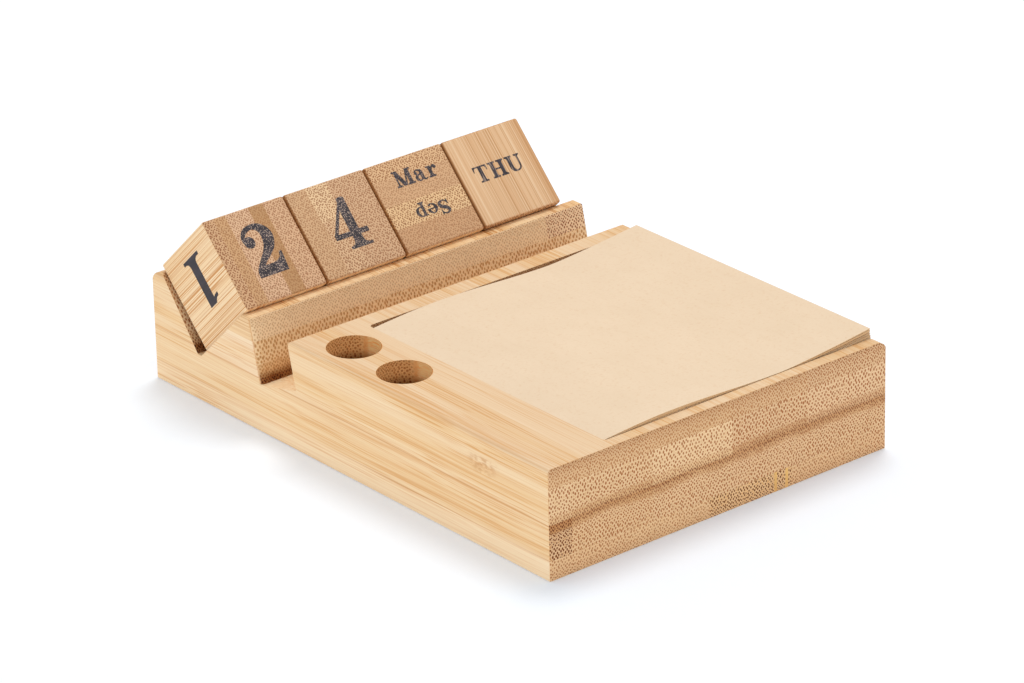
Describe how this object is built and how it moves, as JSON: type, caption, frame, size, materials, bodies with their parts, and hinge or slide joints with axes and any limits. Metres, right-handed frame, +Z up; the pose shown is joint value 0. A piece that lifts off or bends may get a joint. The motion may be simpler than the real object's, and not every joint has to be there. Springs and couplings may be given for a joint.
{
  "type": "desk organiser with calendar cubes",
  "caption": "Laminated bamboo desk block with loose perpetual-calendar cubes in a V groove, a leaning phone slot, pen holes and a recess of memo sheets.",
  "frame": {"origin": "middle of the base rectangle, on the desk", "axes": "+X to the right, +Y from the memo sheets towards the cubes, +Z up; the cubes' dates face -Y and up"},
  "size_m": [0.0934, 0.1342, 0.0424],
  "materials": {
    "bamboo_block": "fine-sanded laminated bamboo, satin",
    "bamboo_cube": "fine-sanded laminated bamboo, satin",
    "printed_ink": "dark grey screen-printed ink, matt, only on the dressed model",
    "memo_paper": "uncoated kraft-toned paper, matt"
  },
  "bodies": {
    "base": {"bottom_ply": "bamboo_block", "lower_core_ply": "bamboo_block", "upper_core_platform": "bamboo_block", "upper_core_rail": "bamboo_block", "upper_core_rear": "bamboo_block", "top_ply_platform": "bamboo_block", "top_ply_rail": "bamboo_block", "top_ply_rear": "bamboo_block"},
    "tens_cube": {"tens_cube": "bamboo_cube"},
    "units_cube": {"units_cube": "bamboo_cube"},
    "month_cube": {"month_cube": "bamboo_cube"},
    "weekday_cube": {"weekday_cube": "bamboo_cube"},
    "memo_stack": {"memo_stack": "memo_paper"},
    "memo_sheet_1": {"memo_sheet_1": "memo_paper"},
    "memo_sheet_2": {"memo_sheet_2": "memo_paper"},
    "memo_sheet_3": {"memo_sheet_3": "memo_paper"},
    "memo_sheet_4": {"memo_sheet_4": "memo_paper"}
  },
  "joints": [
    {"name": "tens_cube_lift", "type": "slide", "parent": "base", "child": "tens_cube", "axis": [0, 0, 1], "range_m": [0, 0.03]},
    {"name": "units_cube_lift", "type": "slide", "parent": "base", "child": "units_cube", "axis": [0, 0, 1], "range_m": [0, 0.03]},
    {"name": "month_cube_lift", "type": "slide", "parent": "base", "child": "month_cube", "axis": [0, 0, 1], "range_m": [0, 0.03]},
    {"name": "weekday_cube_lift", "type": "slide", "parent": "base", "child": "weekday_cube", "axis": [0, 0, 1], "range_m": [0, 0.03]},
    {"name": "memo_stack_lift", "type": "slide", "parent": "base", "child": "memo_stack", "axis": [0, 0, 1], "range_m": [0, 0.03]},
    {"name": "memo_sheet_1_lift", "type": "slide", "parent": "memo_stack", "child": "memo_sheet_1", "axis": [0, 0, 1], "range_m": [0, 0.02]},
    {"name": "memo_sheet_2_lift", "type": "slide", "parent": "memo_sheet_1", "child": "memo_sheet_2", "axis": [0, 0, 1], "range_m": [0, 0.02]},
    {"name": "memo_sheet_3_lift", "type": "slide", "parent": "memo_sheet_2", "child": "memo_sheet_3", "axis": [0, 0, 1], "range_m": [0, 0.02]},
    {"name": "memo_sheet_4_lift", "type": "slide", "parent": "memo_sheet_3", "child": "memo_sheet_4", "axis": [0, 0, 1], "range_m": [0, 0.02]}
  ]
}
